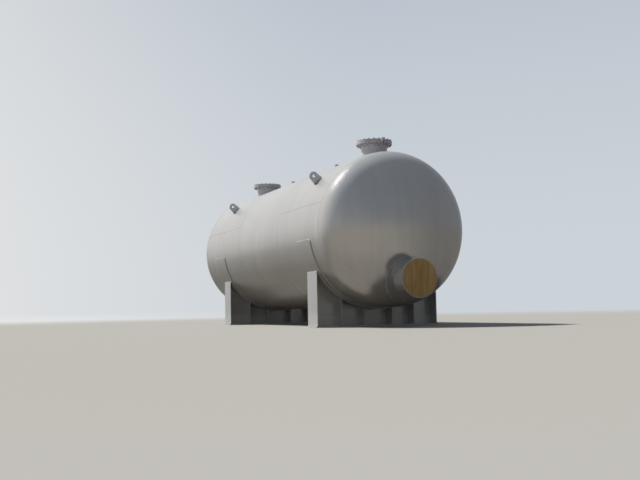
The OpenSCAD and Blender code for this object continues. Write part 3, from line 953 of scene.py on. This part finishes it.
def placed(original, where):
    """A copy of the original with its own mesh, moved there in its mesh."""
    twin = original.copy()
    twin.data = original.data.copy()
    bpy.context.scene.collection.objects.link(twin)
    twin.data.transform(where)
    return twin


def bolt_set(name, original, places):
    """Copies one bolt to all its places, and joins the copies."""
    bolts = joined([placed(original, place) for place in places], name)
    bpy.data.objects.remove(original)
    fit_out(bolts, bolt_steel)
    print(name, len(places), "bolts,", len(bolts.data.polygons), "faces")


def bolt_circle(centre, radius, count):
    """Places round a level circle for upright bolts, each with its hexagon turned its own way."""
    places = []
    for i in range(count):
        angle = (i + 0.5) * 2 * math.pi / count
        on_circle = centre + radius * Vector((math.cos(angle), math.sin(angle), 0))
        places.append(Matrix.Translation(on_circle) @ Matrix.Rotation(TURN_STEP * i, 4, "Z"))
    return places


print("each bolt turned", TURN_STEP, "radians on from the last")

# %% [markdown]
# ## Bolts of the covers
#
# On a manway a bolt clamps the cover, the gasket and the flange, and on a vent the cover and a flange as
# thick. The grips could be typed in, but they are worked out from the thicknesses, so that head and nut
# always lie on steel.

# %% Bolt circles
COVER_T, GASKET_T = 0.040, 0.004
VENT_PCD_R = 0.035
MANWAY_BOLTS, VENT_BOLTS = 20, 4
for end in ("near", "far"):
    gasket_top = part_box(f"{end}_manway_gasket")[1].z
    centre = Vector((middle(f"{end}_manway_gasket").x, 0, gasket_top + COVER_T))
    one = bolt("manway_bolt", M33, COVER_T + GASKET_T + FLANGE_T)
    bolt_set(f"{end}_manway_bolts", one, bolt_circle(centre, FLANGE_PCD_R, MANWAY_BOLTS))
    low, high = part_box(f"{end}_vent_cover")
    centre = Vector(((low.x + high.x) / 2, 0, high.z))
    one = bolt("vent_bolt", M12, 2 * (high.z - low.z))
    bolt_set(f"{end}_vent_bolts", one, bolt_circle(centre, VENT_PCD_R, VENT_BOLTS))

# %% [markdown]
# ## Bolts of the boards
#
# These bolts lie along the tank. Their heads stand on washers in the counterbores, and behind the flange
# their nuts are drawn up on wide washers, which bridge its large holes. They could be modelled lying down,
# but a finished bolt is easily turned, so the same function makes it upright, and a matrix lays it down.

# %% Bolts of the board cover
WASHER_R, WASHER_T = 0.028, 0.0025
WOOD_TURN_STEP = 1.3
under_head = wood_high.x - BORE_DEPTH + WASHER_T
one = bolt("cover_bolt", M12, under_head - OUTLET_BACK_X, WASHER_R, WASHER_T)
along_x = Matrix.Rotation(math.pi / 2, 4, "Y")
places = []
for i, (y, z) in enumerate(held_at):
    turned = Matrix.Rotation(WOOD_TURN_STEP * i, 4, "Z")
    places.append(Matrix.Translation((under_head, y, z)) @ along_x @ turned)
bolt_set("outlet_cover_bolts", one, places)

# %% [markdown]
# ## What lies round the tank
#
# Satin paint shows its surroundings, so the studio is made for the tank: the camera sees a pale
# background, light for the shade comes from a plain grey sky, and reflections meet the same pale sky over
# a darker ground. One plain sky for all three would be simpler, but it would flatten the near head, which
# has its line between cool grey above and warm grey below from the ground that it reflects.

# %% Helpers of the studio
LAMP_SIDE = (-0.75, -0.66, 0)
HORIZON, HIGH_SKY = (0.60, 0.645, 0.69, 1), (0.36, 0.43, 0.52, 1)
LAMP_GLOW = (0.84, 0.83, 0.815, 1)
DARK_GROUND, PALE_GROUND = (0.225, 0.22, 0.205, 1), (0.48, 0.455, 0.405, 1)


def sight(wire):
    """1 for what the camera, a reflection or a see-through ray meets, and 0 for light on the tank."""
    path = wire.node("ShaderNodeLightPath")
    return step(path + path.out("Is Glossy Ray") + path.out("Is Transmission Ray"), 0.0, 1.0)


def lamp_side(heading):
    """1 towards the lamp's side of the studio, and -1 away from it."""
    product = {"operation": "DOT_PRODUCT"}
    return heading.node("ShaderNodeVectorMath", product, {0: heading, 1: LAMP_SIDE}, output=1)


def studio_sky(heading):
    """The background towards a heading: pale at the horizon, deeper above, brighter behind the lamp."""
    sky = blend(step(part(heading, "Z"), 0.02, 0.75), HORIZON, HIGH_SKY)
    return blend(step(lamp_side(heading), 0.35, 1.0) * 0.9, sky, LAMP_GLOW)


def ground_tone(heading, light, share=1.0):
    """The ground that a reflection meets: pale before the near head, by its share, darker elsewhere."""
    in_front = step(part(heading, "X"), -0.6, 0.2)
    not_left = step(part(heading, "Y"), -0.1, 0.95, 1.0, 0.0)
    return blend(in_front * not_left * share, shade(DARK_GROUND, light), shade(PALE_GROUND, light))


print("studio helpers ready")

# %% [markdown]
# ## Background
#
# The background has no mesh: it is the world's colour towards each heading. A painted backdrop behind the
# tank would show its edges from the other sides. Away from the lamp and on the tank's left the reflected
# sky is darker, and a low bank of ground stands in front of it.

# %% World
SKY_AWAY, SKY_LEFT = (0.24, 0.265, 0.305, 1), (0.19, 0.20, 0.22, 1)
SKY_LIGHT = (0.135, 0.148, 0.165, 1)
BANK_LIGHT = 1.28
world = bpy.data.worlds.new("studio")
bpy.context.scene.world = world
world.use_nodes = True
heading = Wire(world.node_tree, world.node_tree.nodes.new("ShaderNodeTexCoord").outputs["Generated"])
unseen = 1 - heading.node("ShaderNodeLightPath")
away = step(lamp_side(heading), -1.0, 0.3, 0.75, 0.0)
tone = blend(away * unseen, studio_sky(heading), SKY_AWAY)
tone = blend(step(part(heading, "Y"), 0.1, 0.95) * unseen * 0.45, tone, SKY_LEFT)
low_down = step(part(heading, "Z"), 0.09, 0.13, 1.0, 0.0)
bank = low_down * step(part(heading, "X"), -0.6, 0.2, 0.25, 1.0)
tone = blend(bank * unseen, tone, ground_tone(heading, BANK_LIGHT))
tone = blend(sight(heading), SKY_LIGHT, tone)
world.node_tree.links.new(tone.socket, world.node_tree.nodes["Background"].inputs["Color"])
print("background ready")

# %% [markdown]
# ## Floor
#
# The floor keeps the tank's shadow. A small slab would end in a hard line under the tank, so it is a wide
# disc that fades into the background with distance. It has three tones, as the background has: pale for
# the camera, dark and warm for the light that it throws up on the tank, and the ground's own tone where
# the paint reflects it.

# %% Floor that fades into the background
FLOOR_R = 260
FLOOR_SEEN, FLOOR_LIGHT = (0.43, 0.42, 0.40, 1), (0.15, 0.124, 0.094, 1)
floor = start(
    bpy.ops.mesh.primitive_circle_add, "floor",
    vertices=96, radius=FLOOR_R, fill_type="NGON", location=(0, 0, 0),
)
floor_finish, floor_place = new_finish("floor_finish")
floor_tree = floor_finish.node_tree
in_view = floor_place.node("ShaderNodeLightPath")
outwards = floor_place.node("ShaderNodeVectorMath", {"operation": "NORMALIZE"}, {0: floor_place})
reach = length(floor_place)
reflected = ground_tone(outwards, 1.0, step(reach, 2.0, 9.0, 0.5, 1.0))
shown = blend(in_view, blend(sight(floor_place), FLOOR_LIGHT, reflected), FLOOR_SEEN)
finish_with(floor_finish, Base_Color=shown, Roughness=0.95)
lit = Wire(floor_tree, floor_tree.nodes["Principled BSDF"].outputs[0])
haze = floor_place.node("ShaderNodeEmission", {}, {"Color": studio_sky(outwards)})
far_off = step(reach, 14.0, 42.0) * in_view
fading = floor_place.node("ShaderNodeMixShader", {}, {0: far_off, 1: lit, 2: haze})
floor_tree.links.new(fading.socket, floor_tree.nodes["Material Output"].inputs[0])
floor.data.materials.append(floor_finish)
print("floor radius", FLOOR_R, "m")

# %% [markdown]
# ## Lamps
#
# The lamp stands high behind the tank on its right side, so that the shell's top is bright and the near
# head is in soft shade. The satin paint would show it as a burnt-out spot. A rougher paint would hide the
# spot, but with it the gleam along the shell. So the lamp is left out of reflections, and a weaker and
# wider one shows only there.

# %% Lamps
TO_LAMP = Vector((-0.55, -0.41, 0.81)).normalized()
LAMP_COLOUR = (1.0, 0.965, 0.91)
# Name, strength, and width in degrees.
LAMPS = (("lamp", 4.67, 5), ("glint_lamp", 0.34, 14))
for name, strength, width in LAMPS:
    bpy.ops.object.light_add(type="SUN", rotation=TO_LAMP.to_track_quat("Z", "Y").to_euler())
    lamp = bpy.context.active_object
    lamp.name = name
    lamp.data.energy = strength
    lamp.data.angle = math.radians(width)
    lamp.data.color = LAMP_COLOUR
    lamp.visible_glossy = name == "glint_lamp"
    lamp.visible_diffuse = name == "lamp"
bpy.context.scene.view_settings.view_transform = "Standard"
print("lamps stand towards", [round(c, 2) for c in TO_LAMP])
